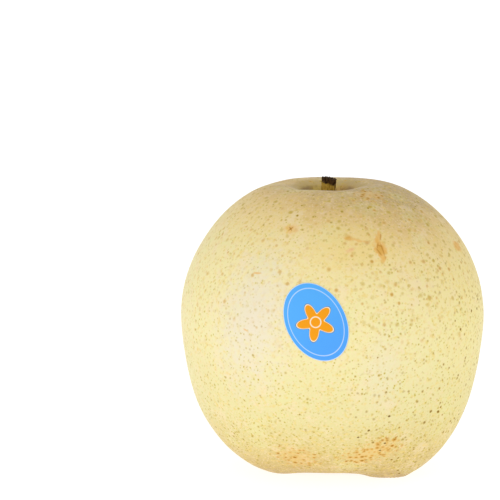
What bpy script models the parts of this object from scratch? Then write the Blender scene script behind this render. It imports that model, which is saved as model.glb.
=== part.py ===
"""A nashi pear with its cut stem and a plain oval label, standing on its calyx end.

Metres, +Z up. The origin is on the surface that the pear rests on, under its middle.
An azimuth is an angle round the pear in degrees, from its front (-Y) towards its right (+X).
A polar angle runs from 0 at the stem to pi at the calyx.
"""

import math

import bmesh
import bpy
from mathutils import Matrix, Vector

# Outline of the fruit, a superellipse that is turned and then shaped further
HALF_WIDTH = 0.0458        # before the base is drawn in
DEPTH_SHARE = 0.985        # front to back, as a share of the width
WAIST_HEIGHT = 0.0421      # height of the widest level above the surface below
CROWN_RISE = 0.0470        # widest level up to the crown, before the stem cavity sinks into it
BASE_DROP = 0.0454         # widest level down to the base, before the basin and the grooves
CROWN_POWER = 2.07         # 2 is an ellipse, and more is squarer
BASE_POWER = 2.70
WAIST_BLEND = 0.25         # how gradually the crown's form passes into the base's
BASE_TAPER = 0.18          # share by which the base is drawn in
BASE_START = 0.35          # cosine below the widest level at which lobes and basin set in
BASE_BLEND = 0.20

# Five unequal lobes round the calyx end, each as (azimuth, size)
LOBES = ((62, 1.50), (125, 1.00), (190, 1.00), (248, 0.95), (298, 0.90))
LOBE_SPREAD = 28           # degrees
LOBE_SWELL = 0.03          # share by which an ordinary lobe stands out sideways
GROOVE_RISE = 0.0036       # how much higher a groove lies than an ordinary lobe
LOBE_RING_RADIUS = 0.0280
LOBE_RING_WIDTH = 0.0140

# Hollows at the two ends
CAVITY_DEPTH = 0.0130
CAVITY_RADIUS = 0.0078
CAVITY_POWER = 1.30
CAVITY_X = -0.0017         # the stem grows a little off the middle
CROWN_SHIFT_RADIUS = 0.020 # the crown's rings are centred on the stem out to about here
BASIN_DEPTH = 0.0090
BASIN_RADIUS = 0.0120
CALYX_RISE = 0.0014        # dry scar in the middle of the basin
CALYX_RADIUS = 0.0030

# Stem
STEM_RADIUS = 0.0021
STEM_FLARE = 0.16          # share by which its foot is thicker
STEM_CLUB = 0.05           # share by which its cut end is thicker
STEM_TOP = 0.0872          # height of the middle of the cut end
STEM_LEAN = 0.0006         # sideways shift of the cut end
STEM_CUT_SLOPE = 0.19      # fall of the cut end towards the right
ROOT_DEPTH = 0.0020        # how far the socket goes below the floor of the cavity
SOCKET_HEIGHT = 0.0080

# Label
LABEL_LENGTH = 0.0234
LABEL_WIDTH = 0.0170
LABEL_THICKNESS = 0.0003
LABEL_AZIMUTH = -6.0
LABEL_POLAR = 1.348
LABEL_TILT = 29.6          # degrees that its long axis leans to the left
LABEL_STANDOFF = 0.010     # distance from which the flat label is laid on the fruit

TOUCH_GAP = 0.0003         # clearance that separate pieces keep

# Mesh fineness
FRUIT_SEGMENTS = 84
FRUIT_ROWS = 50
ROW_CROWDING = 0.50        # 0 spaces the rows evenly, and more draws them towards both ends
STEM_SEGMENTS = 28
STEM_RINGS = 9
LABEL_CELLS = (12, 16)
SLOPE_STEP = 0.001         # radians, for directions along the fruit's surface


def clear_scene():
    for old in list(bpy.data.objects):
        bpy.data.objects.remove(old, do_unlink=True)


def make_collection(name):
    collection = bpy.data.collections.new(name)
    bpy.context.scene.collection.children.link(collection)
    return collection


def make_material(name, colour, roughness):
    material = bpy.data.materials.new(name)
    material.use_nodes = True
    shader = material.node_tree.nodes["Principled BSDF"]
    shader.inputs["Base Color"].default_value = (*colour, 1.0)
    shader.inputs["Roughness"].default_value = roughness
    shader.inputs["Metallic"].default_value = 0.0
    return material


def skin_material():
    return make_material("pear_skin", (0.87, 0.76, 0.41), 0.42)


def stem_material():
    return make_material("stem_bark", (0.045, 0.026, 0.014), 0.85)


def label_material():
    return make_material("label_face", (0.10, 0.43, 0.91), 0.38)


def object_from_bmesh(name, shape, collection):
    mesh = bpy.data.meshes.new(name)
    shape.to_mesh(mesh)
    shape.free()
    made = bpy.data.objects.new(name, mesh)
    collection.objects.link(made)
    return made


def lobe_share(azimuth):
    """One bell curve for each lobe: 1 on an ordinary lobe, near 0 in a groove."""
    total = 0.0
    for centre, size in LOBES:
        away = (math.degrees(azimuth) - centre + 180) % 360 - 180
        total += size * math.exp(-((away / LOBE_SPREAD) ** 2))
    return total


def outline(polar):
    """Radius and height over the widest level of the turned superellipse."""
    side, rise = math.sin(polar), math.cos(polar)
    change = 0.5 * (1 - math.tanh(rise / WAIST_BLEND))
    power = CROWN_POWER + (BASE_POWER - CROWN_POWER) * change
    height = CROWN_RISE if rise > 0 else BASE_DROP
    reach = (abs(side / HALF_WIDTH) ** power + abs(rise / height) ** power) ** (-1 / power)
    return reach * side, reach * rise


def drawn_in(polar):
    """Share by which the taper narrows the fruit here: it grows smoothly below the widest level."""
    rise = math.cos(polar)
    return BASE_TAPER * (math.hypot(rise, WAIST_BLEND) - rise) / 2


def base_share(polar):
    """0 on the crown, 1 on the base, where lobes, grooves and basin are."""
    return 0.5 * (1 - math.tanh((math.cos(polar) + BASE_START) / BASE_BLEND))


def cavity_sink(x, y):
    away = math.hypot(x - CAVITY_X, y)
    return CAVITY_DEPTH * math.exp(-((away / CAVITY_RADIUS) ** CAVITY_POWER))


def base_lift(radius, lobes):
    """Grooves between the lobes and the basin lift the base; the calyx scar hangs in the basin."""
    ring = math.exp(-(((radius - LOBE_RING_RADIUS) / LOBE_RING_WIDTH) ** 2))
    groove = GROOVE_RISE * (1 - lobes) * ring
    basin = BASIN_DEPTH * math.exp(-((radius / BASIN_RADIUS) ** 2))
    scar = CALYX_RISE * math.exp(-((radius / CALYX_RADIUS) ** 2))
    return groove + basin - scar


def fruit_point(polar, azimuth):
    """The surface point at these angles. What would reach below the resting surface is flat on it."""
    radius, z = outline(polar)
    lobes = lobe_share(azimuth)
    base = base_share(polar)
    radius *= 1 + LOBE_SWELL * lobes * base - drawn_in(polar)
    shift = CAVITY_X * (1 - base) * math.exp(-((radius / CROWN_SHIFT_RADIUS) ** 2))
    x = radius * math.sin(azimuth) + shift
    y = -radius * math.cos(azimuth) * DEPTH_SHARE
    z += base * base_lift(radius, lobes) - (1 - base) * cavity_sink(x, y)
    return Vector((x, y, max(z + WAIST_HEIGHT, 0.0)))


def make_fruit(collection):
    """A sphere whose vertices move to the fruit's surface, with closer rows at both ends."""
    shape = bmesh.new()
    bmesh.ops.create_uvsphere(shape, u_segments=FRUIT_SEGMENTS, v_segments=FRUIT_ROWS, radius=1.0)
    for vertex in shape.verts:
        even = math.acos(max(-1.0, min(1.0, vertex.co.z)))
        polar = even - ROW_CROWDING * math.sin(2 * even) / 2
        vertex.co = fruit_point(polar, math.atan2(vertex.co.x, -vertex.co.y))
    fruit = object_from_bmesh("fruit", shape, collection)
    fruit.data.shade_smooth()
    fruit.data.materials.append(skin_material())
    return fruit


def cavity_floor():
    return WAIST_HEIGHT + CROWN_RISE - CAVITY_DEPTH


def cut_socket(fruit, cutters):
    """The hole in the flesh that the stem's foot stands in."""
    shape = bmesh.new()
    radius = STEM_RADIUS * (1 + STEM_FLARE) + TOUCH_GAP
    bmesh.ops.create_cone(shape, cap_ends=True, segments=STEM_SEGMENTS, radius1=radius,
                          radius2=radius, depth=SOCKET_HEIGHT)
    socket = object_from_bmesh("stem_socket", shape, cutters)
    socket.location = (CAVITY_X, 0.0, cavity_floor() - ROOT_DEPTH + SOCKET_HEIGHT / 2)
    socket.hide_render = True
    socket.display_type = "WIRE"
    cut = fruit.modifiers.new("stem_socket", "BOOLEAN")
    cut.operation = "DIFFERENCE"
    cut.object = socket


def stem_point(unit):
    """Where a point of a cylinder of radius 1, from 0 at its foot to 1 at its cut end, goes."""
    rise = unit.z
    foot = cavity_floor() - ROOT_DEPTH + TOUCH_GAP
    radius = STEM_RADIUS * (1 + STEM_FLARE * (1 - rise) ** 2 + STEM_CLUB * rise**4)
    x = radius * unit.x
    y = radius * unit.y
    z = foot + (STEM_TOP - foot) * rise - STEM_CUT_SLOPE * x * rise**4
    return Vector((CAVITY_X + x + STEM_LEAN * rise**2, y, z))


def make_stem(collection):
    """A short stub with a flared foot, cut off at a slant."""
    shape = bmesh.new()
    bmesh.ops.create_cone(shape, cap_ends=True, segments=STEM_SEGMENTS, radius1=1.0,
                          radius2=1.0, depth=1.0, matrix=Matrix.Translation((0, 0, 0.5)))
    upright = [edge for edge in shape.edges if abs(edge.verts[0].co.z - edge.verts[1].co.z) > 0.5]
    bmesh.ops.subdivide_edges(shape, edges=upright, cuts=STEM_RINGS)
    for vertex in shape.verts:
        vertex.co = stem_point(vertex.co)
    stem = object_from_bmesh("stem", shape, collection)
    stem.data.shade_smooth()
    stem.data.set_sharp_from_angle(angle=math.radians(40))
    stem.data.materials.append(stem_material())
    return stem


def label_frame():
    """The label's axes on the fruit, width and length along the skin and the third outward."""
    azimuth = math.radians(LABEL_AZIMUTH)
    centre = fruit_point(LABEL_POLAR, azimuth)
    right = (fruit_point(LABEL_POLAR, azimuth + SLOPE_STEP) - centre).normalized()
    rough_up = fruit_point(LABEL_POLAR - SLOPE_STEP, azimuth) - centre
    outward = right.cross(rough_up).normalized()
    up = outward.cross(right)
    axes = Matrix((right, up, outward)).transposed().to_4x4()
    turn = Matrix.Rotation(math.radians(LABEL_TILT), 4, "Z")
    return Matrix.Translation(centre + LABEL_STANDOFF * outward) @ axes @ turn


def make_label(fruit, collection):
    """An oval sheet laid on the skin, then given its thickness."""
    across, along = LABEL_CELLS
    shape = bmesh.new()
    bmesh.ops.create_grid(shape, x_segments=across, y_segments=along, size=1.0)
    for vertex in shape.verts:
        u, v = vertex.co.x, vertex.co.y
        vertex.co.x = LABEL_WIDTH / 2 * u * math.sqrt(1 - v * v / 2)
        vertex.co.y = LABEL_LENGTH / 2 * v * math.sqrt(1 - u * u / 2)
    label = object_from_bmesh("label", shape, collection)
    label.matrix_world = label_frame()
    lay = label.modifiers.new("lay_on_skin", "SHRINKWRAP")
    lay.target = fruit
    lay.wrap_method = "PROJECT"
    lay.use_project_z = True
    lay.use_negative_direction = True
    lay.use_positive_direction = False
    lay.offset = TOUCH_GAP
    sheet = label.modifiers.new("thickness", "SOLIDIFY")
    sheet.thickness = LABEL_THICKNESS
    sheet.offset = 1.0
    label.data.shade_smooth()
    label.data.materials.append(label_material())
    return label


def main():
    clear_scene()
    pieces = make_collection("nashi_pear")
    cutters = make_collection("cutters")
    fruit = make_fruit(pieces)
    cut_socket(fruit, cutters)
    make_stem(pieces)
    make_label(fruit, pieces)


main()
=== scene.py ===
# %% [markdown]
# # A nashi pear, dressed for its picture
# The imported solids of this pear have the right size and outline, but flat faces and one colour each.
# This lesson keeps them as the frame and lays finer surfaces over them: skin, stem and label.
# Every new surface is a formula on a grid, so each shape can be read, and changed, in a few lines.

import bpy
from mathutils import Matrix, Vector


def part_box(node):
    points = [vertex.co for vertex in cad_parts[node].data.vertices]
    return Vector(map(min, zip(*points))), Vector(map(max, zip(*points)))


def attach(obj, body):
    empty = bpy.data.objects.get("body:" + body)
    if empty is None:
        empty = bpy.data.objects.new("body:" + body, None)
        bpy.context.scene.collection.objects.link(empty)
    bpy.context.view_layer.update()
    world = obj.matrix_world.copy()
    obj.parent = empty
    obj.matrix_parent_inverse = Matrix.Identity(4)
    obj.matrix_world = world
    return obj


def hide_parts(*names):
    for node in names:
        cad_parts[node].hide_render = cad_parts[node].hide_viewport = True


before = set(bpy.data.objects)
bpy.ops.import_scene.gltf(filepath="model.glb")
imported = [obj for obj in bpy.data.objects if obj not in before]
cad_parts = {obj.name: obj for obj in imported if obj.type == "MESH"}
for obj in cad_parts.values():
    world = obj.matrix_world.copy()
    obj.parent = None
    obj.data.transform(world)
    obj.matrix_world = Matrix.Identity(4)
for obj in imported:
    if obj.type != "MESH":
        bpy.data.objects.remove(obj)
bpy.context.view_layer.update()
print("solids:", sorted(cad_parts))

# %% Blender's own modules, and numbers in whole arrays
import math

import bpy
import numpy as np
from mathutils import Vector

MM = 0.001

# %% [markdown]
# ## The turned outline
# A pear of this kind is nearly a ball, a little squarer below than above.
# It could be sculpted, or drawn as a profile for a Screw modifier, but five lobes and two hollows
# come on top, and they are easier to add to a formula. So the outline is a superellipse:
# |side / half width| ^ power + |rise / height| ^ power = 1, where a power of 2 is an ellipse.

# %% Outline of the fruit
HALF_WIDTH = 45.8 * MM
DEPTH_SHARE = 0.985
WAIST_HEIGHT = 42.1 * MM
CROWN_RISE = 47.0 * MM
BASE_DROP = 45.4 * MM
CROWN_POWER = 2.07
BASE_POWER = 2.70
WAIST_BLEND = 0.25
BASE_TAPER = 0.18


def fall(value, middle, blend):
    """A smooth step down: half of 1 minus the hyperbolic tangent of (value - middle) / blend."""
    return 0.5 * (1 - np.tanh((value - middle) / blend))


def bell(distance, width):
    """1 at no distance and near 0 past twice the width: e to the minus (distance / width) squared."""
    return np.exp(-((distance / width) ** 2))


def outline(polar):
    """Radius and rise over the waist of the superellipse, by the angle from stem (0) to calyx (pi)."""
    side, rise = np.sin(polar), np.cos(polar)
    power = CROWN_POWER + (BASE_POWER - CROWN_POWER) * fall(rise, 0, WAIST_BLEND)
    height = np.where(rise > 0, CROWN_RISE, BASE_DROP)
    reach = (np.abs(side / HALF_WIDTH) ** power + np.abs(rise / height) ** power) ** (-1 / power)
    narrowed = 1 - BASE_TAPER * (np.hypot(rise, WAIST_BLEND) - rise) / 2
    return reach * side * narrowed, reach * rise


print("half width at the waist in mm:", round(float(outline(math.pi / 2)[0]) / MM, 2))

# %% [markdown]
# ## Lobes, basin and stem cavity
# Round the calyx end the flesh swells into five unequal lobes, with grooves between them.
# The fruit stands on these lobes. At the top the flesh sinks into the cavity that the stem grew in.
# Each of these is a bell curve, or nearly one, added to the outline, and none needs an edge of its own.

# %% Lobes and hollows
# Azimuth in degrees and size of each lobe.
LOBES = ((62, 1.50), (125, 1.00), (190, 1.00), (248, 0.95), (298, 0.90))
LOBE_SPREAD = 28
LOBE_SWELL = 0.03
LOBE_RING_RADIUS = 28.0 * MM
LOBE_RING_WIDTH = 14.0 * MM
GROOVE_RISE = 3.6 * MM
BASE_START = -0.35
BASE_BLEND = 0.20
CAVITY_DEPTH = 13.0 * MM
CAVITY_RADIUS = 7.8 * MM
CAVITY_POWER = 1.30
CAVITY_X = -1.7 * MM
CROWN_SHIFT_RADIUS = 20.0 * MM
BASIN_DEPTH = 9.0 * MM
BASIN_RADIUS = 12.0 * MM
CALYX_RISE = 1.4 * MM
CALYX_RADIUS = 3.0 * MM


def lobe_share(azimuth):
    """The sum of one bell curve for each lobe: 1 or more on a lobe, and less in the grooves between."""
    centres = np.array([centre for centre, size in LOBES])
    sizes = np.array([size for centre, size in LOBES])
    away = (np.degrees(azimuth)[..., None] - centres + 180) % 360 - 180
    return (sizes * bell(away, LOBE_SPREAD)).sum(axis=-1)


def base_lift(radius, lobes):
    """What raises the base: grooves outside the lobes, and the basin, less the scar that hangs in it."""
    grooves = GROOVE_RISE * (1 - lobes) * bell(radius - LOBE_RING_RADIUS, LOBE_RING_WIDTH)
    basin = BASIN_DEPTH * bell(radius, BASIN_RADIUS)
    return grooves + basin - CALYX_RISE * bell(radius, CALYX_RADIUS)


def fruit_point(polar, azimuth):
    """The smooth fruit: the turned outline, lobes and hollows, cut flat where it would sink below z = 0.

    Azimuth 0 is the front (-Y) and grows towards +X. The last axis of the result is x, y, z.
    """
    polar, azimuth = np.broadcast_arrays(polar, azimuth)
    radius, rise = outline(polar)
    lobes, base = lobe_share(azimuth), fall(np.cos(polar), BASE_START, BASE_BLEND)
    radius = radius * (1 + LOBE_SWELL * lobes * base)
    x = radius * np.sin(azimuth) + CAVITY_X * (1 - base) * bell(radius, CROWN_SHIFT_RADIUS)
    y = -radius * np.cos(azimuth) * DEPTH_SHARE
    from_stem = np.hypot(x - CAVITY_X, y)
    cavity = CAVITY_DEPTH * np.exp(-((from_stem / CAVITY_RADIUS) ** CAVITY_POWER))
    z = WAIST_HEIGHT + rise + base * base_lift(radius, lobes) - (1 - base) * cavity
    return np.stack((x, y, np.maximum(z, 0)), axis=-1)


cavity_floor = float(fruit_point(0.0, 0.0)[2])
print("cavity floor in mm:", round(cavity_floor / MM, 1))

# %% [markdown]
# ## Skin that isn't quite smooth
# A real pear's skin rolls a little: broad swells, a finer unevenness, puckers where the cavity closes
# on the stem, furrows that run into the basin, and a rough scar where the flower was.
# A Displace modifier with a texture could do this, but waves in seeded random directions stay a formula.
# Every wave only lowers the skin, so the fine surface never leaves the solid's box.

# %% Waves and folds of the skin
SKIN_INSET = 0.03 * MM

# Wavelength and depth of each sum of waves. A ring further down is a radius and a width.
BROAD_WAVE = (24 * MM, 0.22 * MM)
MIDDLE_WAVE = (9 * MM, 0.07 * MM)
FINE_WAVE = (2.6 * MM, 0.016 * MM)
WAVES_IN_A_SUM = 20
LENGTH_SPREAD = (0.7, 1.5)
SHOULDER_FOLDS = 5
SHOULDER_FOLD_DEPTH = 0.30 * MM
SHOULDER_FOLD_RING = (12 * MM, 6 * MM)
STEM_PUCKERS = 11
STEM_PUCKER_DEPTH = 0.22 * MM
STEM_PUCKER_RING = (4.0 * MM, 2.2 * MM)
BASIN_FURROWS = 10
BASIN_FURROW_DEPTH = 0.40 * MM
BASIN_FURROW_RING = (8 * MM, 5 * MM)
SCAR_RIM_RADIUS = 3.1 * MM
SCAR_RIM_WIDTH = 0.6 * MM
SCAR_RIM_RISE = 0.35 * MM
SCAR_ROUGHNESS = 0.30 * MM
SCAR_GRAIN = 1.6 * MM
SHOULDER_SEED, PUCKER_SEED, FURROW_SEED, SCAR_SEED = 11, 12, 13, 14


def waves(points, wavelength, seed):
    """0 to 1 all over space: plane waves in seeded random directions, lengths and phases, added up."""
    draw = np.random.default_rng(seed)
    directions = draw.normal(size=(WAVES_IN_A_SUM, 3))
    directions /= np.linalg.norm(directions, axis=1, keepdims=True)
    lengths = wavelength * draw.uniform(*LENGTH_SPREAD, (WAVES_IN_A_SUM, 1))
    phases = draw.uniform(0, 2 * np.pi, WAVES_IN_A_SUM)
    total = np.sin(2 * np.pi * points @ (directions / lengths).T + phases).sum(axis=-1)
    return 0.5 + 0.5 * np.tanh(total / math.sqrt(2 * WAVES_IN_A_SUM))


def folds(angle, count, seed):
    """0 to 1 round an axis: one cosine, its phase pushed to and fro so that no two folds are alike."""
    phases = np.random.default_rng(seed).uniform(0, 2 * np.pi, 3)
    push = np.sin(angle + phases[0]) + 0.6 * np.sin(2 * angle + phases[1])
    return 0.5 + 0.5 * np.cos(count * angle + push + phases[2])


def bell_round(distance, radius, width):
    """A bell curve round a circle: 1 at that radius, and near 0 past twice the width to either side."""
    return bell(distance - radius, width)


def skin_relief(points, azimuth):
    """Height of the fine skin over the smooth fruit: above it only on the rim of the scar below."""
    x, y, z = np.moveaxis(points, -1, 0)
    relief = -SKIN_INSET - np.zeros_like(z)
    for seed, (wavelength, depth) in enumerate((BROAD_WAVE, MIDDLE_WAVE, FINE_WAVE)):
        relief -= depth * waves(points, wavelength, seed)
    from_stem, round_stem = np.hypot(x - CAVITY_X, y), np.arctan2(x - CAVITY_X, -y)
    crown = z > WAIST_HEIGHT
    shoulder = crown * bell_round(from_stem, *SHOULDER_FOLD_RING)
    relief -= SHOULDER_FOLD_DEPTH * shoulder * folds(round_stem, SHOULDER_FOLDS, SHOULDER_SEED)
    pucker = crown * bell_round(from_stem, *STEM_PUCKER_RING)
    relief -= STEM_PUCKER_DEPTH * pucker * folds(round_stem, STEM_PUCKERS, PUCKER_SEED)
    radius = np.hypot(x, y)
    basin = ~crown * bell_round(radius, *BASIN_FURROW_RING)
    relief -= BASIN_FURROW_DEPTH * basin * folds(azimuth, BASIN_FURROWS, FURROW_SEED)
    rim = ~crown * bell_round(radius, SCAR_RIM_RADIUS, SCAR_RIM_WIDTH)
    rough = ~crown * bell(radius, SCAR_RIM_RADIUS) * waves(points, SCAR_GRAIN, SCAR_SEED)
    return relief + SCAR_RIM_RISE * rim - SCAR_ROUGHNESS * rough


# %% Directions straight out of the skin
SLOPE_STEP = 0.001
REST_BLEND = 1.0 * MM


def skin_normal(polar, azimuth):
    """The unit cross product of two short steps, one down the skin and one round it.

    On a pole no step leads round, so there the angle is kept a little off it.
    """
    polar = np.clip(polar, 2 * SLOPE_STEP, np.pi - 2 * SLOPE_STEP)
    down = fruit_point(polar + SLOPE_STEP, azimuth) - fruit_point(polar - SLOPE_STEP, azimuth)
    around = fruit_point(polar, azimuth + SLOPE_STEP) - fruit_point(polar, azimuth - SLOPE_STEP)
    normal = np.cross(down, around)
    return normal / np.linalg.norm(normal, axis=-1, keepdims=True)


def skin_point(polar, azimuth, above=0.0):
    """The fine skin, or a point that far above it. Near the resting surface the relief fades out."""
    polar, azimuth = np.broadcast_arrays(polar, azimuth)
    smooth = fruit_point(polar, azimuth)
    free = np.clip(smooth[..., 2] / REST_BLEND, 0, 1)
    height = free * skin_relief(smooth, azimuth) + above
    points = smooth + height[..., None] * skin_normal(polar, azimuth)
    points[..., 2] = np.maximum(points[..., 2], 0)
    return points


# %% [markdown]
# ## From a grid of points to a closed mesh
# Fruit, stem and label are one grid each: rows from an upper pole to a lower one, and columns round
# the axis. A ready UV sphere would give the same faces, but a grid that is worked out can be laid anywhere.
# At each pole the row shrinks to one vertex, and a fan of triangles closes the surface.

# %% A closed surface from rows and columns
def closed_surface(name, points):
    """Joins a rows x columns x 3 array into quads, with a fan of triangles at each pole.

    Columns run anticlockwise, as seen from beyond the upper pole.
    """
    rows, columns, _ = points.shape
    vertices = np.concatenate((points[1:-1].reshape(-1, 3), points[:1, 0], points[-1:, 0]))
    ring = np.arange(columns)
    after = np.roll(ring, -1)
    start = np.arange(rows - 3)[:, None] * columns
    below = start + columns
    quads = np.stack((start + ring, below + ring, below + after, start + after), axis=-1)
    upper, lower = len(vertices) - 2, len(vertices) - 1
    last = (rows - 3) * columns
    upper_fan = np.stack((np.full(columns, upper), ring, after), axis=-1)
    lower_fan = np.stack((last + ring, np.full(columns, lower), last + after), axis=-1)
    mesh = bpy.data.meshes.new(name)
    faces = quads.reshape(-1, 4).tolist() + upper_fan.tolist() + lower_fan.tolist()
    mesh.from_pydata(vertices.tolist(), [], faces)
    mesh.shade_smooth()
    piece = bpy.data.objects.new(name, mesh)
    bpy.context.scene.collection.objects.link(piece)
    print(name, "has", 2 * quads.shape[0] * columns + 2 * columns, "triangles")
    return piece


# %% The skin as a mesh
SKIN_ROWS = 222
SKIN_COLUMNS = 440
ROW_CROWDING = 0.60


def make_skin():
    """Rows lie closer together towards both ends, where cavity, folds and scar need them."""
    even = np.linspace(0, np.pi, SKIN_ROWS)
    polar = even - ROW_CROWDING * np.sin(2 * even) / 2
    azimuth = np.linspace(-np.pi, np.pi, SKIN_COLUMNS, endpoint=False)
    return closed_surface("pear_skin", skin_point(polar[:, None], azimuth[None, :]))


pear = make_skin()
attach(pear, "root")
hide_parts("fruit")

# %% [markdown]
# ## The stem
# The stem is a woody stub, a little thicker at its foot and at its end, where it broke from the spur.
# It could be a curve with a bevel, but bark has ridges and the end is torn, so it is a grid as well:
# a profile goes from the middle of the cut end over the rim, down the side and under the foot.

# %% Measures of the stem
stem_low, stem_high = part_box("stem")
STEM_RADIUS = 2.1 * MM
STEM_FLARE = 0.16
STEM_CLUB = 0.05
STEM_LEAN = 0.6 * MM
STEM_CUT_SLOPE = 0.19
BARK_RIDGES = (5, 9, 16, 27)
BARK_RIDGE_DEPTH = 0.045
BARK_ROUGHNESS = 0.16 * MM
BARK_GRAIN = 1.1 * MM
END_ROUGHNESS = 0.55 * MM
END_GRAIN = 0.75 * MM
END_STRETCH = (1, 1, 0.3)
RIDGE_DRIFT = 2.5
RIDGE_SWAY = 0.5
RIDGE_SWAYS = 7
RIDGE_SEED, BARK_SEED, END_SEED = 21, 22, 23
STEM_COLUMNS = 160
END_ROWS, SIDE_ROWS, FOOT_ROWS = 36, 150, 8
stem_top = stem_high.z - STEM_CUT_SLOPE * STEM_RADIUS * (1 + STEM_CLUB)
print("stem stands from", round(stem_low.z / MM, 1), "to", round(stem_top / MM, 1), "mm")


# %% The stem as a mesh
def stem_profile():
    """Share of the radius and of the height along the profile: end, side, foot."""
    end, side, foot = (np.linspace(0, 1, rows) for rows in (END_ROWS, SIDE_ROWS, FOOT_ROWS))
    reach = np.concatenate((end[:-1] ** 0.8, np.ones(SIDE_ROWS), 1 - foot[1:]))
    height = np.concatenate((np.ones(END_ROWS - 1), 1 - side, np.zeros(FOOT_ROWS - 1)))
    return reach[:, None], height[:, None]


def bark_ridges(angle, height):
    """Long ridges: cosines round the stem, each drifting sideways as it climbs."""
    draw = np.random.default_rng(RIDGE_SEED)
    total = np.zeros(np.broadcast(angle, height).shape)
    for count in BARK_RIDGES:
        drift = draw.uniform(-RIDGE_DRIFT, RIDGE_DRIFT) * height
        drift = drift + RIDGE_SWAY * np.sin(RIDGE_SWAYS * height + draw.uniform(0, 6))
        total += np.cos(count * angle + drift + draw.uniform(0, 6)) / math.sqrt(len(BARK_RIDGES))
    return total


def make_stem():
    """A leaning, flared stub. The bark's ridges end in a torn rim, and the end between is rough."""
    reach, height = stem_profile()
    angle = np.linspace(-np.pi, np.pi, STEM_COLUMNS, endpoint=False)[None, :]
    thick = 1 + STEM_FLARE * (1 - height) ** 2 + STEM_CLUB * height**4
    radius = STEM_RADIUS * reach * (thick + BARK_RIDGE_DEPTH * reach**2 * bark_ridges(angle, height))
    side_x = radius * np.sin(angle)
    x = CAVITY_X + STEM_LEAN * height**2 + side_x
    y = -radius * np.cos(angle)
    z = stem_low.z + (stem_top - stem_low.z) * height - STEM_CUT_SLOPE * side_x * height**4
    points = np.stack((x, y, z), axis=-1)
    inward = np.stack((side_x, y, np.zeros_like(y)), axis=-1) / STEM_RADIUS
    points -= BARK_ROUGHNESS * (waves(points, BARK_GRAIN, BARK_SEED) * reach**4)[..., None] * inward
    torn = waves(points * END_STRETCH, END_GRAIN, END_SEED)
    points[..., 2] -= END_ROUGHNESS * torn * height**30
    return closed_surface("stem_bark", points)


stem = make_stem()
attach(stem, "root")
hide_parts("stem")

# %% [markdown]
# ## The label
# The label is an oval of printed film, glued to the skin, so it has to follow every swell under it.
# A Shrinkwrap modifier could press a flat oval on, but the skin is a formula, so the label can ask it:
# for each point of the flat oval, find the angles on the fruit that lie straight under it.
# A few rounds of correction are enough, because so small a patch is nearly flat.

# %% Measures of the label
LABEL_LENGTH = 23.4 * MM
LABEL_WIDTH = 17.0 * MM
LABEL_AZIMUTH = math.radians(-6.0)
LABEL_POLAR = 1.348
LABEL_TILT = math.radians(29.6)
LABEL_THICKNESS = 0.11 * MM
LABEL_GLUE = 0.02 * MM
LABEL_EDGE_LIFT = 0.10 * MM
LABEL_EDGE_WAVES = 7
LABEL_EDGE_SEED = 31
LABEL_NICK = 0.022
LABEL_NICK_SPREAD = 0.05
LABEL_COLUMNS = 180
FACE_ROWS, EDGE_ROWS, BACK_ROWS = 60, 4, 12
CORRECTIONS = 12
LABEL_UV = "print"


def label_axes():
    """Middle of the label on the fruit, and unit vectors across it and along it, turned by its tilt."""
    middle = fruit_point(LABEL_POLAR, LABEL_AZIMUTH)
    right = fruit_point(LABEL_POLAR, LABEL_AZIMUTH + SLOPE_STEP) - middle
    right /= np.linalg.norm(right)
    up = np.cross(skin_normal(LABEL_POLAR, LABEL_AZIMUTH), right)
    across = math.cos(LABEL_TILT) * right + math.sin(LABEL_TILT) * up
    along = math.cos(LABEL_TILT) * up - math.sin(LABEL_TILT) * right
    return middle, np.stack((across, along), axis=-1)


def angles_under(flat):
    """Angles on the fruit under points of the flat label: what is still missing is added, over and over."""
    middle, axes = label_axes()
    angles = np.array((LABEL_POLAR, LABEL_AZIMUTH))
    steps = SLOPE_STEP * np.eye(2)
    slopes = np.stack([(fruit_point(*(angles + step)) - middle) @ axes / SLOPE_STEP for step in steps])
    found = np.zeros_like(flat) + angles
    for _ in range(CORRECTIONS):
        there = (fruit_point(found[..., 0], found[..., 1]) - middle) @ axes
        found += (flat - there) @ np.linalg.inv(slopes)
    return found[..., 0], found[..., 1]


def label_rows():
    """Share of the way from middle to edge, and share of the thickness, row by row: face, edge, back."""
    face, edge, back = (np.linspace(0, 1, rows) for rows in (FACE_ROWS, EDGE_ROWS, BACK_ROWS))
    reach = np.concatenate((face, np.ones(EDGE_ROWS - 2), 1 - back))
    level = np.concatenate((np.ones(FACE_ROWS), 1 - edge[1:-1], np.zeros(BACK_ROWS)))
    return reach[:, None], level[:, None]


def make_label():
    """An oval with a small nick, its edge lifted off the skin in places, laid on and given a UV map."""
    reach, level = label_rows()
    angle = np.linspace(-np.pi, np.pi, LABEL_COLUMNS, endpoint=False)[None, :]
    cut = reach * (1 - LABEL_NICK * bell(np.pi - np.abs(angle), LABEL_NICK_SPREAD))
    across = LABEL_WIDTH / 2 * cut * np.cos(angle)
    along = LABEL_LENGTH / 2 * cut * np.sin(angle)
    flat = np.stack((across, along), axis=-1)
    lift = LABEL_EDGE_LIFT * reach**14 * folds(angle, LABEL_EDGE_WAVES, LABEL_EDGE_SEED)
    above = LABEL_GLUE + LABEL_THICKNESS * level + lift
    label = closed_surface("label_film", skin_point(*angles_under(flat), above))
    flat_of_vertex = np.concatenate((flat[1:-1].reshape(-1, 2), flat[:1, 0], flat[-1:, 0]))
    corner = np.zeros(len(label.data.loops), dtype=np.int32)
    label.data.loops.foreach_get("vertex_index", corner)
    layer = label.data.uv_layers.new(name=LABEL_UV)
    layer.data.foreach_set("uv", (0.5 + flat_of_vertex[corner] / LABEL_LENGTH).ravel())
    return label


label = make_label()
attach(label, "root")
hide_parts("label")

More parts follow.
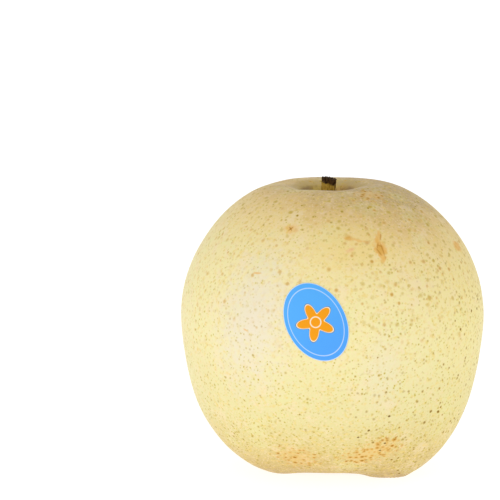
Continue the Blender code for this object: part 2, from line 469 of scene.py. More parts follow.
# %% [markdown]
# ## Writing shaders as sums
# Skin, bark and print are mostly arithmetic: how far from the stem, how deep inside a spot, how much
# of each. Nodes can be wired one by one, but a formula reads better. So a Signal wraps a socket, and
# Python's operators on it add Math nodes. Colours go through Mix nodes, because a Math node would
# turn them grey.

# %% A socket that can be added and multiplied
class Signal:
    """What leaves a node's socket. Operators on values add Math nodes and give a new Signal."""

    def __init__(self, finish, socket):
        self.finish = finish
        self.socket = socket

    def math(self, operation, *values):
        """A Math node with this operation and these values."""
        return self.finish.add("ShaderNodeMath", {"operation": operation}, dict(enumerate(values)))

    def other(self, name):
        """Another output of the same node."""
        return Signal(self.finish, self.socket.node.outputs[name])

    def __add__(self, value):
        return self.math("ADD", self, value)

    def __sub__(self, value):
        return self.math("SUBTRACT", self, value)

    def __rsub__(self, value):
        return self.math("SUBTRACT", value, self)

    def __mul__(self, value):
        return self.math("MULTIPLY", self, value)

    def __truediv__(self, value):
        return self.math("DIVIDE", self, value)

    def __pow__(self, value):
        return self.math("POWER", self, value)

    def __abs__(self):
        return self.math("ABSOLUTE", self)

    __radd__ = __add__
    __rmul__ = __mul__


# %% A material that is painted in layers
class Finish:
    """A material with a colour, a roughness and a height in mm, each built up layer by layer."""

    def __init__(self, name, colour, roughness):
        self.material = bpy.data.materials.new(name)
        self.material.use_nodes = True
        self.tree = self.material.node_tree
        self.tree.nodes.clear()
        self.colour = (*colour, 1.0)
        self.roughness = roughness
        self.height = 0.0

    def add(self, kind, settings=None, sockets=None, output=0):
        """One node: its settings first, then the values or links of its sockets."""
        node = self.tree.nodes.new(kind)
        for name, value in (settings or {}).items():
            if name == "stops":
                self.set_stops(node.color_ramp, value)
            else:
                setattr(node, name, value)
        for name, value in (sockets or {}).items():
            if isinstance(value, Signal):
                self.tree.links.new(value.socket, node.inputs[name])
            else:
                node.inputs[name].default_value = value
        return Signal(self, node.outputs[output])

    def set_stops(self, ramp, stops):
        """Each stop is a place from 0 to 1 and a colour. A new ramp has two stops already."""
        while len(ramp.elements) < len(stops):
            ramp.elements.new(1.0)
        for element, (where, colour) in zip(ramp.elements, stops):
            element.position = where
            element.color = (*colour, 1.0)

    def place(self):
        """Object coordinates in millimetres."""
        metres = self.add("ShaderNodeTexCoord", output="Object")
        return self.add("ShaderNodeVectorMath", {"operation": "SCALE"}, {0: metres, "Scale": 1 / MM})

    def moved(self, vector, offset):
        """The vector less an offset, which moves a pattern that far along."""
        return self.add("ShaderNodeVectorMath", {"operation": "SUBTRACT"}, {0: vector, 1: offset})

    def stretched(self, vector, shares):
        """Each axis times its share: below 1, a pattern grows longer that way."""
        return self.add("ShaderNodeVectorMath", {"operation": "MULTIPLY"}, {0: vector, 1: shares})

    def along(self, vector, direction):
        """How far the vector reaches in that direction."""
        return self.add("ShaderNodeVectorMath", {"operation": "DOT_PRODUCT"}, {0: vector, 1: direction},
                        output="Value")

    def noise(self, vector, size, detail=2.0):
        """Cloudy noise from about 0 to 1, its clouds about that large."""
        return self.add("ShaderNodeTexNoise", None, {"Vector": vector, "Scale": 1 / size, "Detail": detail})

    def smooth(self, value, low, high):
        """0 below low, 1 above high and a soft slope between. With low above high, the other way round."""
        return self.add("ShaderNodeMapRange", {"interpolation_type": "SMOOTHSTEP"},
                        {"Value": value, "From Min": low, "From Max": high})

    def mix(self, share, first, second):
        """A blend of two colours."""
        return self.add("ShaderNodeMix", {"data_type": "RGBA"}, {0: share, 6: first, 7: second}, output=2)

    def paint(self, share, colour, roughness=None, rise=0.0):
        """Lays a colour over what is there, as thick as the share says, with its roughness and rise."""
        self.colour = self.mix(share, self.colour, (*colour, 1.0))
        if roughness is not None:
            self.roughness = share * roughness + (1 - share) * self.roughness
        if rise:
            self.height = share * rise + self.height

    def done(self, **constants):
        """Wires the layers to a Principled shader. Heights in mm become a bump of the same size."""
        shader = self.tree.nodes.new("ShaderNodeBsdfPrincipled")
        ends = {"Base Color": self.colour, "Roughness": self.roughness}
        if isinstance(self.height, Signal):
            ends["Normal"] = self.add("ShaderNodeBump", None,
                                      {"Strength": 1.0, "Distance": MM, "Height": self.height})
        for name, value in ends.items():
            if isinstance(value, Signal):
                self.tree.links.new(value.socket, shader.inputs[name])
            else:
                shader.inputs[name].default_value = value
        for name, value in constants.items():
            shader.inputs[name.replace("_", " ")].default_value = value
        output = self.tree.nodes.new("ShaderNodeOutputMaterial")
        self.tree.links.new(shader.outputs["BSDF"], output.inputs["Surface"])
        print(self.material.name, "has", len(self.tree.nodes), "nodes")
        return self.material


# %% [markdown]
# ## The skin's ground colour
# The skin is pale yellow, warmer and tanner towards the crown and under the base, and its darkest ends
# there are partly painted shade.
# A gradient by height gives that, but a ruler-straight gradient looks sprayed on.
# So the height is pushed up and down by soft noise first, and the riper side is tanned
# a little further down. Every length in a finish is in millimetres.

# %% Ground colour, with painted shade at both ends
PEAR_HEIGHT = 86.0

# Share of the height, and the colour there. The darkest stops, at both ends, are partly tan skin and partly
# painted shade.
GROUND_AND_SHADE = (
    (0.00, (0.48, 0.33, 0.14)),
    (0.05, (0.62, 0.45, 0.16)),
    (0.14, (0.72, 0.58, 0.235)),
    (0.26, (0.80, 0.71, 0.34)),
    (0.46, (0.87, 0.79, 0.41)),
    (0.66, (0.91, 0.81, 0.41)),
    (0.79, (0.91, 0.77, 0.37)),
    (0.87, (0.89, 0.70, 0.32)),
    (0.94, (0.80, 0.57, 0.24)),
    (1.00, (0.60, 0.43, 0.19)),
)

RIPE_SIDE_TILT = 0.20
RIPE_SIDE_HEIGHTS = (24.0, 56.0)
GROUND_CLOUD = 14.0
GROUND_PUSH = 9.0
PUSH_HEIGHTS = (0.0, 12.0)


def ground_colour_and_shade(skin, place, x, z):
    """A colour by height, in part painted shade at both ends, its level pushed about by noise and, in the
    upper half, tilted towards +X.
    """
    push = GROUND_PUSH * (skin.noise(place, GROUND_CLOUD) - 0.5)
    tilt = RIPE_SIDE_TILT * x * skin.smooth(z, *RIPE_SIDE_HEIGHTS)
    share = (z + push * skin.smooth(z, *PUSH_HEIGHTS) + tilt) / PEAR_HEIGHT
    return skin.add("ShaderNodeValToRGB", {"stops": GROUND_AND_SHADE}, {"Fac": share}, output="Color")


print("ground colours by height:", len(GROUND_AND_SHADE))

# %% [markdown]
# ## A mark at a place on the skin
# A patch, a scar or a rub sits at one place on the skin and has a size of its own.
# A painted picture could hold them all, but an oval measured in space round a point of the skin
# needs no picture and follows the curve. Noise frays its edge, so that it looks grown, not stamped.

# %% One mark on the skin
RAGGED_SIZE = 1.3
RAGGED_DETAIL = 4.0


def mark(skin, place, azimuth, polar, half_width, half_length, tilt=0.0, ragged=0.8, blur=0.55, kite=False):
    """How deep inside an oval, or a kite, a point is: 1 in the middle, 0 outside. Noise frays the edge."""
    azimuth, tilt = math.radians(azimuth), math.radians(tilt)
    middle = fruit_point(polar, azimuth)
    outward = skin_normal(polar, azimuth)
    level = np.cross((0, 0, 1), outward)
    level /= np.linalg.norm(level)
    rising = np.cross(outward, level)
    across = math.cos(tilt) * level + math.sin(tilt) * rising
    along = math.cos(tilt) * rising - math.sin(tilt) * level
    offset = skin.moved(place, tuple(middle / MM))
    side = skin.along(offset, tuple(across / half_width))
    length = skin.along(offset, tuple(along / half_length))
    depth = skin.along(offset, tuple(outward / (half_width + half_length)))
    if kite:
        reach = abs(side) + abs(length) + abs(depth)
    else:
        reach = (side * side + length * length + depth * depth) ** 0.5
    frayed = reach + ragged * (skin.noise(place, RAGGED_SIZE, RAGGED_DETAIL) - 0.5)
    return skin.smooth(frayed, 1.0, 1.0 - blur)


def paint_marks(skin, place, table):
    """One mark for each row: strength, colour, roughness, rise, and the place and size that mark takes."""
    for strength, colour, roughness, rise, oval in table:
        skin.paint(strength * mark(skin, place, *oval), colour, roughness, rise)


# %% [markdown]
# ## Clouds and patches
# Close up, the ground isn't one colour: greenish, pinkish and golden clouds of several sizes cross it,
# with orange smudges higher up. One noise on a colour ramp could give them all, but each is a layer
# of its own here, so that its size and strength can be changed alone. Wider patches follow: a pale patch
# of painted sheen at the front left, a fainter one of bloom beside the label, and a warm one on the
# shoulder.

# %% Clouds and patches in the ground colour
GREENISH = (0.82, 0.80, 0.37)
PINKISH = (0.94, 0.75, 0.50)
GOLDEN = (0.84, 0.62, 0.15)

# Size, colour and strength of each layer of clouds.
CLOUDS = ((9.0, GREENISH, 0.35), (4.5, PINKISH, 0.40), (1.3, GOLDEN, 0.55), (0.6, PINKISH, 0.55))
CLOUD_DETAIL = 3.0
CLOUD_EDGE = (0.50, 0.72)
CLOUD_SHIFT = 40.0
SMUDGE = (0.88, 0.62, 0.22)
SMUDGE_SIZE = 1.9
SMUDGE_SHIFT = 70.0
SMUDGE_EDGE = (0.56, 0.70)
SMUDGE_HEIGHTS = (26.0, 50.0)
RIPE = (0.90, 0.76, 0.20)
RIPE_SIDE = (22.0, 44.0)
# Pale colour for the painted sheen at the front left, and for the bloom beside the label.
SHEEN_AND_BLOOM = (0.84, 0.76, 0.62)
WARM = (0.90, 0.68, 0.24)

# Strength, colour, roughness and rise, and then what mark takes: azimuth in degrees, angle from the stem
# in radians, half width, half length, tilt in degrees, raggedness and blur.
PATCHES = (
    # The first row is painted sheen: a soft highlight painted pale into the skin at the front left.
    (0.72, SHEEN_AND_BLOOM, 0.42, 0.0, (-31.0, 1.37, 18.0, 28.0, -10.0, 1.3, 0.95)),
    (0.30, SHEEN_AND_BLOOM, 0.44, 0.0, (19.0, 1.68, 9.0, 18.0, 0.0, 1.3, 0.95)),
    (0.60, WARM, 0.46, 0.0, (10.0, 0.88, 19.0, 10.0, 0.0, 1.4, 0.95)),
)


def mottling(skin, place, x, z):
    """Faint clouds, orange smudges above, a riper side, a pale patch of painted sheen, a fainter one of
    bloom and a warm patch.
    """
    for turn, (size, colour, most) in enumerate(CLOUDS):
        cloud = skin.noise(skin.moved(place, (CLOUD_SHIFT * turn, 0, 0)), size, CLOUD_DETAIL)
        skin.paint(most * skin.smooth(cloud, *CLOUD_EDGE), colour)
    smudge = skin.noise(skin.moved(place, (0, SMUDGE_SHIFT, 0)), SMUDGE_SIZE)
    skin.paint(0.28 * skin.smooth(smudge, *SMUDGE_EDGE) * skin.smooth(z, *SMUDGE_HEIGHTS), SMUDGE)
    skin.paint(0.28 * skin.smooth(x, *RIPE_SIDE), RIPE)
    paint_marks(skin, place, PATCHES)


print("cloud layers:", len(CLOUDS), "and patches:", len(PATCHES))

# %% [markdown]
# ## Lenticels
# The dots on a pear are lenticels, small corky breathing pores. They are larger and wider apart on
# the shoulder, and fine and close below. Painting thousands by hand or as geometry would be wasteful.
# A Voronoi texture scatters points in space: where the skin passes close to one, it cuts a small ball,
# so the spots differ in size by themselves. Each point also has a random colour, which sets how dark it is.

# %% Spots in a skin
FAINTEST = 0.25
SMALLEST_SPOT, LARGEST_SPOT = 0.7, 1.3
RING_DEPTHS = (0.0, 0.5)
CORE_DEPTHS = (0.30, 0.75)
DOT_RISE = 0.01


def spots(skin, place, gap, radius, shift, evenness):
    """How far inside a spot a point is, 1 at its middle, and how strong that spot is.

    A spot shows at about the gap from the next. Balls per volume follow from spots per area.
    An evenness below 1 brings the faint spots nearer to the strong ones.
    """
    cell = (2 * radius * gap**2) ** (1 / 3)
    centres = {"Vector": skin.moved(place, (shift, shift, 0)), "Scale": 1 / cell}
    distance = skin.add("ShaderNodeTexVoronoi", None, centres, output="Distance")
    chance = skin.add("ShaderNodeSeparateColor", None, {"Color": distance.other("Color")})
    reach = distance / ((radius / cell) * (SMALLEST_SPOT + (LARGEST_SPOT - SMALLEST_SPOT) * chance))
    strength = FAINTEST + (1 - FAINTEST) * chance.other("Green") ** 2.0
    return 1 - reach, strength**evenness


def dot(skin, share, spot, ring, core):
    """A lenticel: a soft coloured ring round a darker core."""
    depth, strength = spot
    share = share * strength
    skin.paint(share * skin.smooth(depth, *RING_DEPTHS), ring, 0.60, DOT_RISE)
    skin.paint(share * skin.smooth(depth, *CORE_DEPTHS), core, 0.65)


# %% Families of lenticels
GOLD_RING, GOLD_CORE = (0.71, 0.59, 0.12), (0.43, 0.31, 0.01)
TAN_RING, TAN_CORE = (0.64, 0.47, 0.09), (0.35, 0.21, 0.005)
OLIVE_RING, OLIVE_CORE = (0.66, 0.49, 0.12), (0.60, 0.41, 0.07)
ORANGE_RING, ORANGE_CORE = (0.76, 0.48, 0.14), (0.58, 0.33, 0.05)
DARK_RING, DARK_CORE = (0.52, 0.32, 0.03), (0.15, 0.07, 0.0)

# Gap, radius, a shift that keeps the families apart, evenness, and the colours of ring and core.
FAMILIES = {
    "golden": (1.15, 0.37, 31.0, 1.0, GOLD_RING, GOLD_CORE),
    "tan": (2.0, 0.48, 53.0, 1.0, TAN_RING, TAN_CORE),
    "tan on the base": (1.7, 0.46, 15.0, 0.6, TAN_RING, TAN_CORE),
    "olive": (2.8, 0.80, 0.0, 1.0, OLIVE_RING, OLIVE_CORE),
    "orange": (3.6, 0.75, 45.0, 1.0, ORANGE_RING, ORANGE_CORE),
    "dark": (6.0, 0.46, 77.0, 1.0, DARK_RING, DARK_CORE),
    "dark at the lower right": (2.8, 0.56, 99.0, 1.0, DARK_RING, DARK_CORE),
}
print("families of dots:", ", ".join(FAMILIES))

# %% Where each family grows
WOBBLE = 0.35
WOBBLE_SCALE = 1.4
CROWD_SIZE = 9.0
CROWD_EDGE = (0.38, 0.62)
UPPER_HEIGHTS = (34.0, 66.0)
CROWN_HEIGHTS = (73.0, 82.0)
BASE_HEIGHTS = (28.0, 10.0)
RIPER_SIDE = (-6.0, 18.0)
LOWER_RIGHT = (-30.0, 16.0)
LOWER_RIGHT_SLOPE = 0.7


def wobbled(skin, place):
    """The place moved about a little, so that the spots aren't round."""
    clouds = skin.add("ShaderNodeTexNoise", None, {"Vector": place, "Scale": WOBBLE_SCALE}, output="Color")
    push = skin.add("ShaderNodeVectorMath", {"operation": "SCALE"}, {0: clouds, "Scale": WOBBLE})
    return skin.add("ShaderNodeVectorMath", {"operation": "ADD"}, {0: place, 1: push})


def lenticels(skin, place, x, z):
    """Golden and tan dots all over, large olive and orange ones above, and a few nearly black."""
    ragged = wobbled(skin, place)
    crowd = 0.75 + 0.5 * skin.smooth(skin.noise(place, CROWD_SIZE), *CROWD_EDGE)
    upper = skin.smooth(z, *UPPER_HEIGHTS)
    crown = skin.smooth(z, *CROWN_HEIGHTS)
    riper = upper * skin.smooth(x, *RIPER_SIDE)
    base = skin.smooth(z, *BASE_HEIGHTS)
    lower_right = skin.smooth(x - LOWER_RIGHT_SLOPE * z, *LOWER_RIGHT)
    shares = {
        "golden": crowd * (0.66 - 0.28 * upper + 0.3 * base),
        "tan": crowd * (0.50 - 0.27 * upper + 0.8 * crown + 0.25 * riper),
        "tan on the base": 0.9 * base,
        "olive": crowd * (0.27 * upper + 0.7 * crown + 0.45 * riper),
        "orange": 0.62 * upper + 0.3 * riper,
        "dark": 0.75 - 0.60 * upper,
        "dark at the lower right": crowd * lower_right,
    }
    for family, (*scatter, ring, core) in FAMILIES.items():
        dot(skin, shares[family], spots(skin, ragged, *scatter), ring, core)


# %% [markdown]
# ## Russet, scars and rubs
# Every fruit has its own marks. On this one: a kite-shaped russet scar on the right shoulder, a small
# rusty cross to its left, two orange spots joined by a faint streak with a rub below them, an orange patch
# at the right edge, two fine scratches, and russet by the crown and where the lobes begin.
# They could be drawn as one picture, but each is a mark at a place here, so it can be moved alone.

# %% Scars, spots and scratches
RUSSET = (0.74, 0.41, 0.07)
RUST = (0.42, 0.19, 0.01)
SCAR = (0.84, 0.46, 0.10)
SCAR_LINE = (0.50, 0.21, 0.02)
TAN = (0.66, 0.42, 0.14)
RUB = (0.88, 0.50, 0.24)

# Places and sizes, in the order that mark takes them.
KITE = (22.3, 0.885, 3.1, 6.4, 2.0, 1.1)
KITE_TIP = (23.5, 0.800, 0.8, 2.4, -12.0, 0.6)
KITE_HEART = (22.0, 0.890, 1.8, 3.0, -4.0, 1.2, 0.9)

# Azimuth, angle from the stem, half length and tilt of each dark stroke in the kite.
KITE_STROKES = (
    (21.2, 0.868, 1.7, -22.0),
    (22.4, 0.868, 1.3, 62.0),
    (23.2, 0.895, 3.4, 4.0),
    (23.9, 0.812, 1.8, -22.0),
    (21.2, 0.910, 1.8, 26.0),
)
STROKE_HALF_WIDTH = 0.30
STROKE_RAGGED = 1.1

# Strength, colour, roughness, rise and what mark takes, for: the rusty haze and its cross, the patch
# at the edge, the two spots and their streak, the rub, and the two scratches.
SMALL_MARKS = (
    (0.75, SCAR, 0.60, 0.0, (-21.8, 0.747, 2.7, 2.2, 0.0, 1.2, 0.9)),
    (0.70, RUST, 0.70, 0.015, (-21.8, 0.748, 0.30, 1.3, 42.0, 0.8)),
    (0.70, RUST, 0.70, 0.015, (-21.8, 0.748, 0.30, 1.3, -38.0, 0.8)),
    (0.75, SCAR, 0.60, 0.0, (72.8, 0.960, 3.2, 2.2, 0.0, 1.0)),
    (0.90, RUSSET, 0.60, 0.0, (8.0, 0.803, 1.9, 1.3, -10.0, 1.0, 0.9)),
    (0.85, TAN, 0.60, 0.0, (16.5, 0.842, 1.3, 1.1, -10.0, 1.0, 0.9)),
    (0.50, SCAR, 0.60, 0.0, (11.0, 0.818, 6.0, 0.65, -14.0, 2.0, 0.8)),
    (0.75, RUB, 0.55, 0.0, (7.5, 0.894, 2.0, 1.1, 20.0, 2.2, 0.9)),
    (0.70, SCAR, 0.60, 0.01, (-32.0, 1.067, 1.8, 0.34, 4.0, 0.7)),
    (0.60, SCAR, 0.60, 0.01, (-33.2, 1.429, 1.2, 0.30, -20.0, 0.7)),
)


def scars(skin, place):
    """The kite with its tip, heart and strokes, and then the small marks."""
    kite = mark(skin, place, *KITE, kite=True)
    tip = mark(skin, place, *KITE_TIP)
    skin.paint(0.80 * kite.math("MAXIMUM", kite, 0.8 * tip), SCAR, 0.70, 0.03)
    skin.paint(0.75 * mark(skin, place, *KITE_HEART), RUSSET, 0.70)
    for azimuth, polar, half_length, tilt in KITE_STROKES:
        stroke = mark(skin, place, azimuth, polar, STROKE_HALF_WIDTH, half_length, tilt, STROKE_RAGGED)
        skin.paint(0.55 * stroke, SCAR_LINE, 0.75, -0.02)
    paint_marks(skin, place, SMALL_MARKS)


print("strokes in the kite:", len(KITE_STROKES), "and small marks:", len(SMALL_MARKS))

# %% Patches of russet
STAIN = (0.82, 0.54, 0.18)
INSIDE_RANGE = (0.0, 0.45)

# Gap, radius, shift and evenness of the flecks.
FLECKS = (1.45, 0.80, 15.0, 0.3)

# Places and sizes, in the order that mark takes them.
RUSSET_PATCHES = (
    (36.5, 0.430, 6.0, 4.4, 0.0, 1.6, 0.9),
    (-19.7, 2.39, 8.8, 8.0, 0.0, 1.6, 0.95),
    (25.8, 2.24, 7.0, 6.6, 35.0, 1.6, 0.95),
    (16.3, 2.34, 8.5, 7.0, 25.0, 1.6, 0.95),
)

# Azimuth and angle of each speck, and half width, half length, tilt and raggedness of them all.
DARK_SPECKS = ((25.3, 2.201), (24.5, 2.273), (16.0, 2.086), (11.8, 2.145), (23.8, 1.981))
SPECK = (0.50, 0.42, 0.0, 0.6)


def russet(skin, place):
    """Russet comes as a crowd of orange-brown flecks over a faint tan stain, with a few dark specks."""
    flecks = spots(skin, place, *FLECKS)
    for patch in RUSSET_PATCHES:
        inside = mark(skin, place, *patch)
        skin.paint(0.55 * inside, STAIN, 0.6)
        dot(skin, skin.smooth(inside, *INSIDE_RANGE), flecks, RUSSET, RUST)
    for azimuth, polar in DARK_SPECKS:
        skin.paint(0.9 * mark(skin, place, azimuth, polar, *SPECK), DARK_CORE, 0.7)


print("patches of russet:", len(RUSSET_PATCHES))

# %% Russet in the two hollows, and painted shade deep in the stem cavity
CAVITY_TAN = (0.56, 0.41, 0.16)
CAVITY_OLIVE = (0.50, 0.34, 0.06)
CAVITY_ORANGE = (0.62, 0.38, 0.12)
CAVITY_BROWN = (0.26, 0.15, 0.03)
# A dark brown for the painted shade deep in the stem cavity.
CAVITY_PAINTED_SHADE = (0.28, 0.18, 0.08)
BASIN_RUSSET = (0.50, 0.31, 0.11)
SCAR_BROWN = (0.13, 0.07, 0.03)
CROWN_START, CROWN_FULL = 60.0, 66.0

# Distances from the middle of the hollow at which each colour begins and is full.
TAN_REACH = (12.5, 9.5)
OLIVE_REACH = (9.5, 6.5)
ORANGE_REACH = (10.0, 7.0)
STREAK_REACH = (8.6, 6.0)
PAINTED_SHADE_REACH = (8.9, 7.2)
BASIN_REACH = (13.0, 5.0)
SCAR_REACH = (3.8, 3.0)
HOLLOW_CLOUD = 2.2
HOLLOW_DETAIL = 4.0
HOLLOW_MIDDLE = -1.2
SHADED_HOLLOW_ENDS = (4.6, 6.4)
ORANGE_SIDE = (-1.0, 2.0)
STREAK_SIZE = 0.9
STREAK_STRETCH = (1.0, 0.25, 0.25)
STREAK_EDGE = (0.46, 0.60)


def cavity(skin, place, x, y, z):
    """Tan, then olive on one side and orange on the other, brown streaks, and painted shade at both ends.
    """
    crown = skin.smooth(z, CROWN_START, CROWN_FULL)
    cloud = skin.noise(place, HOLLOW_CLOUD, HOLLOW_DETAIL) - 0.5
    from_stem = ((x - CAVITY_X / MM) ** 2.0 + y * y) ** 0.5 + 3.0 * cloud
    streak = skin.smooth(skin.noise(skin.stretched(place, STREAK_STRETCH), STREAK_SIZE, 3.0), *STREAK_EDGE)
    right = skin.smooth(x, *ORANGE_SIDE)
    ends = skin.smooth(abs(x - HOLLOW_MIDDLE), *SHADED_HOLLOW_ENDS)
    skin.paint(0.80 * crown * skin.smooth(from_stem, *TAN_REACH), CAVITY_TAN, 0.55)
    skin.paint(0.80 * crown * skin.smooth(from_stem, *OLIVE_REACH), CAVITY_OLIVE, 0.6)
    skin.paint(0.80 * crown * skin.smooth(from_stem, *ORANGE_REACH) * right, CAVITY_ORANGE, 0.6)
    skin.paint(0.65 * crown * skin.smooth(from_stem, *STREAK_REACH) * streak, CAVITY_BROWN, 0.6)
    # Painted shade: dark brown where the cavity wall is deepest, at both ends of the lip.
    skin.paint(0.85 * crown * skin.smooth(from_stem - 2.0 * cloud, *PAINTED_SHADE_REACH) * ends, CAVITY_PAINTED_SHADE, 0.6)


def basin(skin, place, x, y, z):
    """Russet with a ragged edge round the calyx, and the dry brown scar in the middle."""
    base = skin.smooth(z, CROWN_FULL, CROWN_START)
    cloud = skin.noise(place, HOLLOW_CLOUD, HOLLOW_DETAIL) - 0.5
    from_axis = (x * x + y * y) ** 0.5
    skin.paint(0.7 * base * skin.smooth(from_axis + 9.0 * cloud, *BASIN_REACH), BASIN_RUSSET, 0.65, 0.02)
    skin.paint(base * skin.smooth(from_axis + 1.5 * cloud, *SCAR_REACH), SCAR_BROWN, 0.85, 0.05)


# %% The skin put together
SKIN_ROUGHNESS = 0.46
ROUGHNESS_CLOUD = 2.0
ROUGHNESS_SPREAD = 0.10
PORE_SIZE, PORE_RISE = 0.8, 0.02
SWELL_SIZE, SWELL_RISE = 3.0, 0.05


def skin_finish():
    """Ground, clouds, hollows, dots and marks, in that order, and a fine bump all over."""
    skin = Finish("pear_skin", GREENISH, SKIN_ROUGHNESS)
    place = skin.place()
    x = skin.add("ShaderNodeSeparateXYZ", None, {"Vector": place})
    y, z = x.other("Y"), x.other("Z")
    skin.colour = ground_colour_and_shade(skin, place, x, z)
    mottling(skin, place, x, z)
    cavity(skin, place, x, y, z)
    basin(skin, place, x, y, z)
    lenticels(skin, place, x, z)
    scars(skin, place)
    russet(skin, place)
    pores = PORE_RISE * skin.noise(place, PORE_SIZE, 3.0)
    skin.height = skin.height + pores + SWELL_RISE * skin.noise(place, SWELL_SIZE)
    skin.roughness = skin.roughness + ROUGHNESS_SPREAD * (skin.noise(place, ROUGHNESS_CLOUD) - 0.5)
    return skin.done(IOR=1.42, Specular_IOR_Level=0.3)


pear.data.materials.append(skin_finish())

# %% [markdown]
# ## Bark
# The stub is nearly black where the bark has dried, and ochre where it comes out of the cavity.
# Bark could be one brown with bump, but its two ages show, so height decides between them, frayed by noise.

# %% Bark
BARK_BREAK = 85.6
BARK_BREAK_SLOPE = 0.28
BARK_BREAK_FRAY = 1.3
BARK_DARK = (0.018, 0.008, 0.002)
BARK_BROWN = (0.075, 0.036, 0.010)
BARK_OCHRE = (0.50, 0.32, 0.055)
BARK_OLIVE = (0.26, 0.16, 0.01)
# A pale grey for painted glints on the dried bark.
GLINT_GREY = (0.26, 0.21, 0.16)
BARK_STRETCH = (1.0, 1.0, 0.22)
FIBRE_SIZE, FIBRE_RISE = 0.35, 0.14
BARK_CLOUD, BARK_CLOUD_RISE = 0.9, 0.08
GLINT_SIZE = 0.5
OLIVE_FIBRES = (0.40, 0.66)
BLACK_FIBRES = (0.62, 0.38)
GLINT_SPECKS = (0.62, 0.74)
BROWN_SIDE = (0.2, 0.9)
DRIED_HEIGHTS = (BARK_BREAK - 0.5, BARK_BREAK + 0.3)


def bark_finish():
    """Ochre and olive fibres below the break, brown, black and a few painted grey glints above it and on
    the right.
    """
    bark = Finish("stem_bark", BARK_OCHRE, 0.75)
    place = bark.place()
    x = bark.add("ShaderNodeSeparateXYZ", None, {"Vector": place})
    z = x.other("Z")
    streak = bark.noise(bark.stretched(place, BARK_STRETCH), FIBRE_SIZE, 4.0)
    cloud = bark.noise(place, BARK_CLOUD, 3.0)
    bark.paint(bark.smooth(streak, *OLIVE_FIBRES), BARK_OLIVE)
    edge = z + BARK_BREAK_SLOPE * (x - CAVITY_X / MM) + BARK_BREAK_FRAY * (cloud - 0.5)
    right = bark.smooth(x, *BROWN_SIDE)
    dried = bark.smooth(edge, *DRIED_HEIGHTS)
    bark.paint(dried.math("MAXIMUM", dried, 0.9 * right), BARK_BROWN, 0.85)
    bark.paint(dried * bark.smooth(streak, *BLACK_FIBRES), BARK_DARK, 0.9)
    # Painted glints: pale grey specks that stand in for highlights on the dried bark.
    specks = bark.smooth(bark.noise(place, GLINT_SIZE), *GLINT_SPECKS)
    bark.paint(0.5 * dried * specks, GLINT_GREY, 0.9)
    bark.height = FIBRE_RISE * streak + BARK_CLOUD_RISE * cloud
    return bark.done(Specular_IOR_Level=0.12)


stem.data.materials.append(bark_finish())

# %% [markdown]
# ## Print on the label
# The film is sky blue with a plain five-petalled flower, and its cut edge shows the pale film.
# A picture could hold that, but shapes this simple are formulas too: a flower is a circle
# whose radius goes up and down five times round, and an oval is a stretched circle.

# %% Print
PRINT_BLUE = (0.090, 0.43, 0.97)
PRINT_BLUE_DEEP = (0.070, 0.32, 0.91)
PRINT_ORANGE = (0.91, 0.34, 0.0)
PRINT_CREAM = (0.95, 0.84, 0.62)
PRINT_SHADOW = (0.08, 0.09, 0.18)
PRINT_LINE = (0.80, 0.90, 1.0)
FILM_EDGE = (0.86, 0.92, 0.97)
FILM_ROUGHNESS = 0.36
DEEP_BLUE_HEIGHTS = (8.0, -12.0)
PETALS = 5
PETAL_DEPTH = 0.28
FLOWER_RADIUS = 5.4

# Where each layer starts and is full: past the petal's edge, then from the flower's middle.
SHADOW_EDGE = (0.55, 0.30)
RIM_EDGE = (0.36, 0.16)
PETAL_EDGE = (0.05, -0.12)
EYE_RIM_EDGE = (1.75, 1.55)
EYE_EDGE = (1.45, 1.25)
LINE_PLACE = 0.86
LINE_EDGE = (0.020, 0.006)
EDGE_LINE = 0.22


def label_finish():
    """Blue, deeper below. Then the flower's shadow, rim, petals and eye, the oval line and the edge."""
    film = Finish("label_face", PRINT_BLUE, FILM_ROUGHNESS)
    uv = film.add("ShaderNodeUVMap", {"uv_map": LABEL_UV})
    flat = film.add("ShaderNodeVectorMath", {"operation": "SCALE"},
                    {0: film.moved(uv, (0.5, 0.5, 0)), "Scale": LABEL_LENGTH / MM})
    u = film.add("ShaderNodeSeparateXYZ", None, {"Vector": flat})
    v = u.other("Y")
    film.paint(film.smooth(v, *DEEP_BLUE_HEIGHTS) * 0.6, PRINT_BLUE_DEEP)
    radius = (u * u + v * v) ** 0.5
    turn = u.math("ARCTAN2", u, v)
    wave = turn.math("COSINE", PETALS * turn)
    past_petal = radius - FLOWER_RADIUS * (1 - PETAL_DEPTH + PETAL_DEPTH * wave)
    film.paint(film.smooth(past_petal, *SHADOW_EDGE), PRINT_SHADOW)
    film.paint(film.smooth(past_petal, *RIM_EDGE), PRINT_CREAM)
    film.paint(film.smooth(past_petal, *PETAL_EDGE), PRINT_ORANGE)
    film.paint(film.smooth(radius, *EYE_RIM_EDGE), PRINT_CREAM)
    film.paint(film.smooth(radius, *EYE_EDGE), PRINT_ORANGE)
    half_width, half_length = LABEL_WIDTH / 2 / MM, LABEL_LENGTH / 2 / MM
    oval = ((u / half_width) ** 2.0 + (v / half_length) ** 2.0) ** 0.5
    film.paint(0.5 * film.smooth(abs(oval - LINE_PLACE), *LINE_EDGE), PRINT_LINE)
    film.paint(film.smooth(oval, 1 - EDGE_LINE / half_width, 1.0), FILM_EDGE)
    return film.done(Specular_IOR_Level=0.2)


label.data.materials.append(label_finish())

# %% [markdown]
# ## Floor, light and camera
# The pear stands on a plain white table, as for a shop's picture: a bright, even room,
# with one large soft lamp to the left of the camera. The table itself glows a little, like a light table,
# so that it stays white under the fruit too.

# %% The floor
FLOOR_SIDE = 6.0
FLOOR_DROP = 0.05 * MM
FLOOR_COLOUR = (0.38, 0.38, 0.38)
FLOOR_ROUGHNESS = 0.8
FLOOR_GLOW = 0.81
WHITE = (1.0, 1.0, 1.0, 1.0)


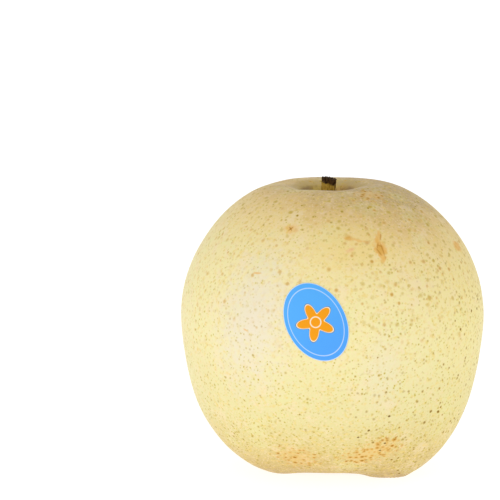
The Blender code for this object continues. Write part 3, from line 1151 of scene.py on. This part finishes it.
def make_floor():
    """A square just under the resting surface."""
    half = FLOOR_SIDE / 2
    square = [(x, y, -FLOOR_DROP) for x, y in ((-half, -half), (half, -half), (half, half), (-half, half))]
    mesh = bpy.data.meshes.new("floor")
    mesh.from_pydata(square, [], [(0, 1, 2, 3)])
    floor = bpy.data.objects.new("floor", mesh)
    bpy.context.scene.collection.objects.link(floor)
    table = Finish("white_table", FLOOR_COLOUR, FLOOR_ROUGHNESS)
    mesh.materials.append(table.done(Emission_Color=WHITE, Emission_Strength=FLOOR_GLOW))
    return floor


make_floor()

# %% The room's light
ROOM_LEVEL = 1.00
DIMMEST_SHARE = 0.50
DIMMEST_TILT = math.radians(20)
DIMMING_START = 0.1
LAMP_AZIMUTH = math.radians(-48)
LAMP_ELEVATION = math.radians(9)
LAMP_DISTANCE = 0.70
LAMP_SIDE = 0.26
LAMP_WATTS = 0.36
PEAR_MIDDLE = Vector((0, 0, WAIST_HEIGHT))


def make_room():
    """A white room, dimmest overhead and a little behind the pear."""
    world = bpy.data.worlds.new("white_room")
    bpy.context.scene.world = world
    world.use_nodes = True
    tree = world.node_tree
    direction = tree.nodes.new("ShaderNodeTexCoord")
    height = tree.nodes.new("ShaderNodeVectorMath")
    height.operation = "DOT_PRODUCT"
    height.inputs[1].default_value = (0, math.sin(DIMMEST_TILT), math.cos(DIMMEST_TILT))
    level = tree.nodes.new("ShaderNodeMapRange")
    level.inputs["From Min"].default_value = DIMMING_START
    level.inputs["From Max"].default_value = 1.0
    level.inputs["To Min"].default_value = ROOM_LEVEL
    level.inputs["To Max"].default_value = ROOM_LEVEL * DIMMEST_SHARE
    tree.links.new(direction.outputs["Generated"], height.inputs[0])
    tree.links.new(height.outputs["Value"], level.inputs["Value"])
    tree.links.new(level.outputs["Result"], tree.nodes["Background"].inputs["Strength"])
    tree.nodes["Background"].inputs["Color"].default_value = WHITE


def towards(azimuth, elevation):
    """The direction from the pear to something at these angles."""
    flat = math.cos(elevation)
    return Vector((math.sin(azimuth) * flat, -math.cos(azimuth) * flat, math.sin(elevation)))


def make_lamp():
    """A large square lamp that faces the pear."""
    lamp = bpy.data.objects.new("soft_lamp", bpy.data.lights.new("soft_lamp", "AREA"))
    lamp.data.size = LAMP_SIDE
    lamp.data.energy = LAMP_WATTS
    direction = towards(LAMP_AZIMUTH, LAMP_ELEVATION)
    lamp.location = PEAR_MIDDLE + LAMP_DISTANCE * direction
    lamp.rotation_euler = direction.to_track_quat("Z", "Y").to_euler()
    bpy.context.scene.collection.objects.link(lamp)


make_room()
make_lamp()
print("room at", ROOM_LEVEL, "and lamp at", LAMP_WATTS, "W")

# %% The camera
CAMERA_ELEVATION = math.radians(11.2)
CAMERA_DISTANCE = 0.850
CAMERA_CENTRE = Vector((0, 0, 42.0 * MM))
AIM_LEFT = 24.5 * MM
AIM_UP = 23.05 * MM
LENS = 206.2


def make_camera():
    """Looks down a little, and aims left of the pear and above it, so that it stands low on the right."""
    camera = bpy.data.objects.new("camera", bpy.data.cameras.new("camera"))
    camera.data.lens = LENS
    back = towards(0, CAMERA_ELEVATION)
    up = Vector((0, math.sin(CAMERA_ELEVATION), math.cos(CAMERA_ELEVATION)))
    aim = CAMERA_CENTRE + Vector((-AIM_LEFT, 0, 0)) + AIM_UP * up
    camera.location = CAMERA_CENTRE + CAMERA_DISTANCE * back
    camera.rotation_euler = (aim - camera.location).to_track_quat("-Z", "Y").to_euler()
    bpy.context.scene.collection.objects.link(camera)
    bpy.context.scene.camera = camera


make_camera()
bpy.context.scene.view_settings.view_transform = "Standard"
print("lens in mm:", LENS)
